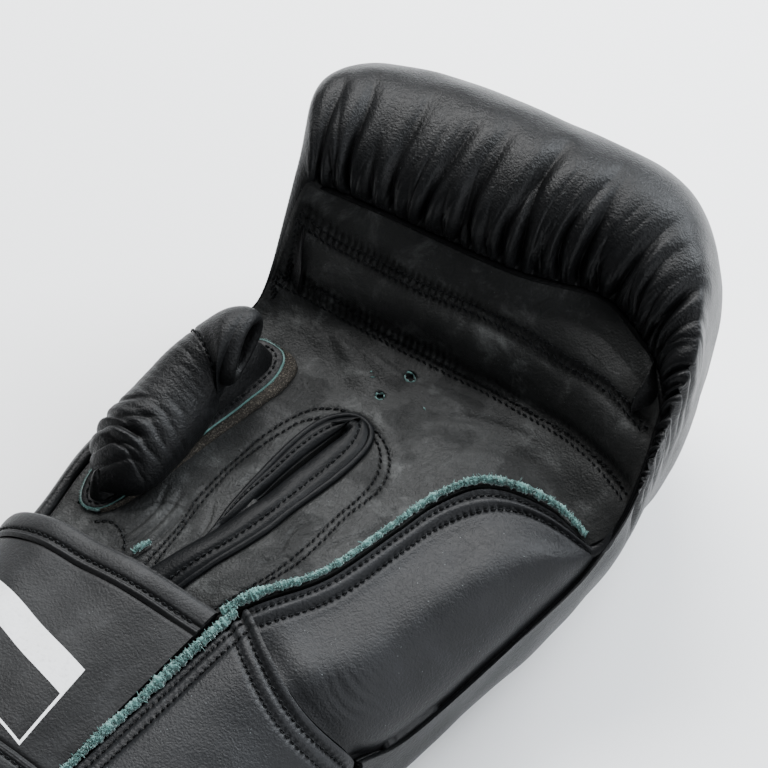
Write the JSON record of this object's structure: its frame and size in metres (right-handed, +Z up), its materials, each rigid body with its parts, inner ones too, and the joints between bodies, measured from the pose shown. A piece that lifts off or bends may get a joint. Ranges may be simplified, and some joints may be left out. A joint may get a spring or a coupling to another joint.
{
  "type": "bag glove",
  "caption": "Open-thumb padded leather bag glove for the left hand, with a gathered finger roll, grip roll, side pad, slit wrist, padded cuff and wide strap.",
  "frame": {"origin": "under the middle of the palm, on the surface that the glove's padded back lies on", "axes": "+X towards the little finger, +Y towards the fingertips, +Z up, out of the palm"},
  "size_m": [0.1652, 0.28, 0.1252],
  "materials": {
    "black_leather": "semi-matte full-grain leather",
    "strap_leather": "smooth semi-matte strap leather",
    "satin_binding": "thin satin binding leather",
    "teal_suede": "raw fuzzy suede edge",
    "grey_felt": "matte speckled felt"
  },
  "bodies": {
    "root": {"back_pad": "black_leather", "palm_panel": "black_leather", "slit_lip_little": "satin_binding", "slit_lip_thumb": "satin_binding", "side_pad": "black_leather", "cuff_pad": "black_leather", "wrist_strap": "strap_leather", "strap_binding_top": "satin_binding", "strap_binding_bottom": "satin_binding", "raw_edge_side": "teal_suede", "raw_edge_cuff": "teal_suede", "thumb_sleeve": "black_leather", "thumb_hole_rim": "black_leather", "thumb_flange": "black_leather", "thumb_felt": "grey_felt", "strap_tab": "teal_suede"}
  },
  "joints": []
}
